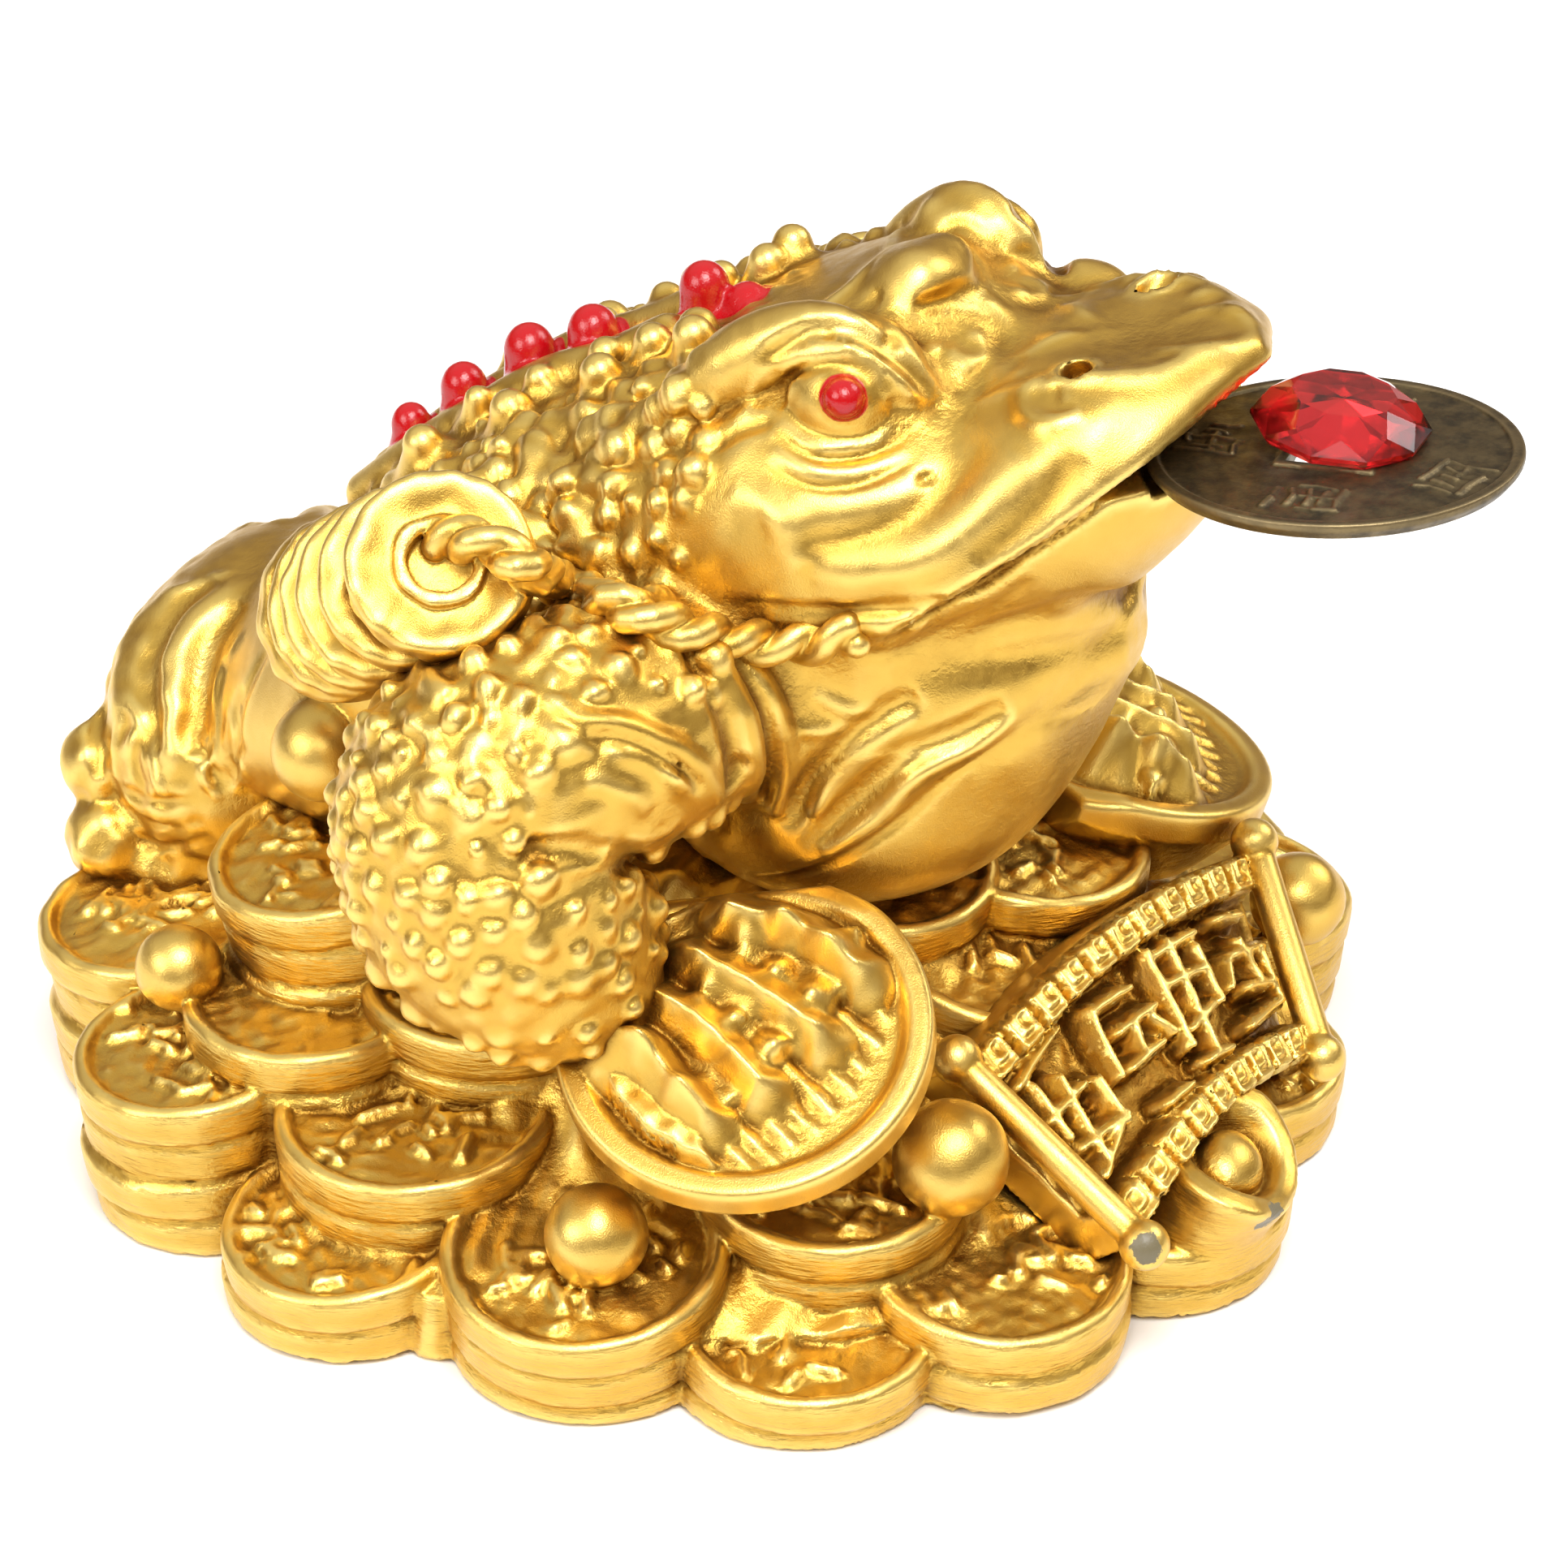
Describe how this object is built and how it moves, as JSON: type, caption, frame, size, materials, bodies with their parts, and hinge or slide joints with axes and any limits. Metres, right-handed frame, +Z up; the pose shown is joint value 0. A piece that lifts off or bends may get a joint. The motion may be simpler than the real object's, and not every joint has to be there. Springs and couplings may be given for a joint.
{
  "type": "money toad figure",
  "caption": "Three-legged toad resting on a heap of coins, cast in one piece and painted gold, with a loose token and a red cut stone in its mouth.",
  "frame": {"origin": "on the underside, below the middle of the whole figure's bounding box", "axes": "+Z up, the toad faces -Y, its right side is towards -X"},
  "size_m": [0.0927, 0.1035, 0.0672],
  "materials": {
    "gold_paint": "cast polyresin under satin metallic gold paint, with glossy red paint on the eyes and the beads of the spine",
    "dark_brass": "thin struck token, darkened brass, brighter on its rim",
    "red_acrylic": "clear red cut acrylic stone"
  },
  "bodies": {
    "root": {"toad_casting": "gold_paint", "mouth_coin": "dark_brass", "red_gem": "red_acrylic"}
  },
  "joints": []
}
